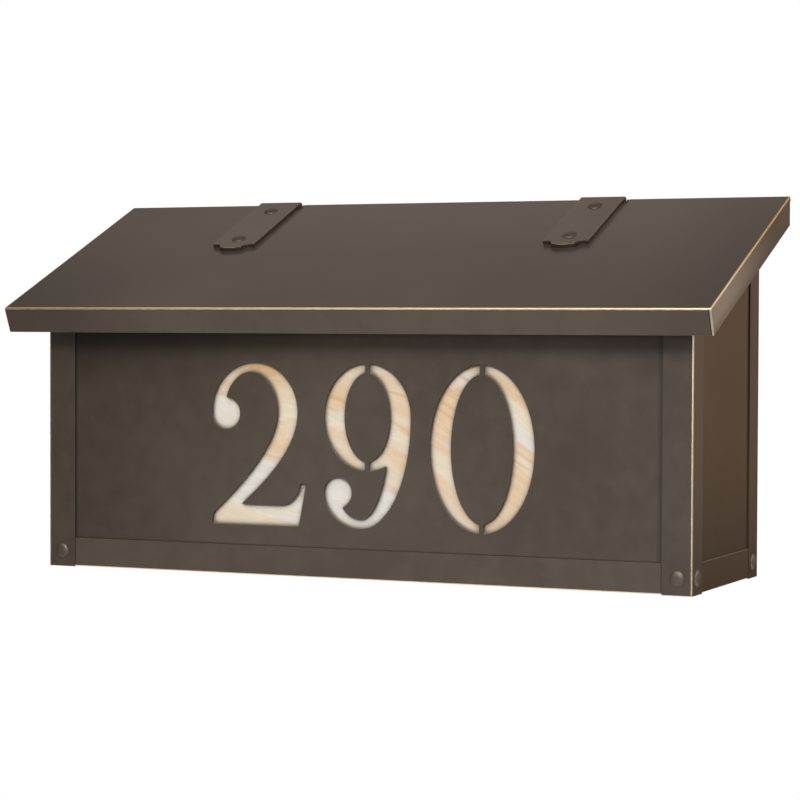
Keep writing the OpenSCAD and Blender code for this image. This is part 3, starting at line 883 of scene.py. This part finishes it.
def softbox(name, azimuth, elevation, size, power, colour):
    """An area light that faces the box. Azimuth 0 is straight in front, and 90 is to the right."""
    a, e = math.radians(azimuth), math.radians(elevation)
    way = Vector((math.sin(a) * math.cos(e), -math.cos(a) * math.cos(e), math.sin(e)))
    data = bpy.data.lights.new(name, "AREA")
    data.shape = "RECTANGLE"
    data.size, data.size_y = size
    data.energy = power
    data.color = colour
    light = bpy.data.objects.new(name, data)
    light.location = Vector((0, front_y / 2, 0)) + way * LIGHT_DISTANCE
    light.rotation_euler = way.to_track_quat("Z", "Y").to_euler()
    light.visible_camera = False
    bpy.context.scene.collection.objects.link(light)


def make_studio():
    """Soft lights round the box, in a pale world that itself gives little light."""
    softbox("key", 10, 30, (1.0, 0.8), 50, (1.0, 0.96, 0.84))
    softbox("level", 10, 5, (1.0, 0.8), 9, (0.60, 0.78, 1.0))
    softbox("high", 20, 58, (1.2, 1.0), 10, (0.75, 0.65, 1.0))
    softbox("low left", -24, 0, (0.8, 0.8), 1.0, (1.0, 0.82, 0.66))
    softbox("fold", -35, 48, (1.2, 0.8), 9, (1.0, 0.9, 0.78))
    softbox("corner", 66, 5, (0.8, 1.0), 6.0, (1.0, 0.80, 0.60))
    softbox("slope", 148, 40, (0.8, 0.8), 4.2, (1.0, 0.9, 0.76))
    softbox("back", -150, 42, (1.6, 0.7), 2.5, (1.0, 0.90, 0.79))
    softbox("right", 112, 26, (1.0, 0.8), 9.5, (1.0, 0.94, 0.81))
    softbox("right back", 155, 5, (1.0, 1.0), 2.0, (1.0, 0.70, 0.47))
    softbox("behind", -158, 0, (1.2, 1.0), 24, (1.0, 0.96, 0.90))
    softbox("left back", -112, 0, (1.0, 0.8), 7, (1.0, 0.96, 0.90))
    world = bpy.data.worlds.new("studio")
    bpy.context.scene.world = world
    world.use_nodes = True
    nodes, links = world.node_tree.nodes, world.node_tree.links
    nodes.clear()
    seen = nodes.new("ShaderNodeBackground")
    seen.inputs["Color"].default_value = WHITE
    fill = nodes.new("ShaderNodeBackground")
    fill.inputs["Color"].default_value = WHITE
    fill.inputs["Strength"].default_value = FILL
    path = nodes.new("ShaderNodeLightPath")
    mix = nodes.new("ShaderNodeMixShader")
    out = nodes.new("ShaderNodeOutputWorld")
    links.new(path.outputs["Is Camera Ray"], mix.inputs[0])
    links.new(fill.outputs[0], mix.inputs[1])
    links.new(seen.outputs[0], mix.inputs[2])
    links.new(mix.outputs[0], out.inputs["Surface"])
    bpy.context.scene.view_settings.view_transform = "Standard"


def make_floor():
    """A pale round floor well below the box, which hangs on a wall."""
    shape = bmesh.new()
    bmesh.ops.create_circle(shape, cap_ends=True, segments=96, radius=FLOOR_R)
    mesh = bpy.data.meshes.new("floor")
    shape.to_mesh(mesh)
    shape.free()
    mesh.materials.append(studio_white("studio floor"))
    floor = bpy.data.objects.new("floor", mesh)
    floor.location = (0, front_y / 2, bottom_z - FLOOR_DROP)
    bpy.context.scene.collection.objects.link(floor)


make_camera()
make_lid()
make_panels()
make_posts()
make_rails()
make_straps()
make_rivets()
make_fittings()
make_glass()
make_floor()
make_studio()
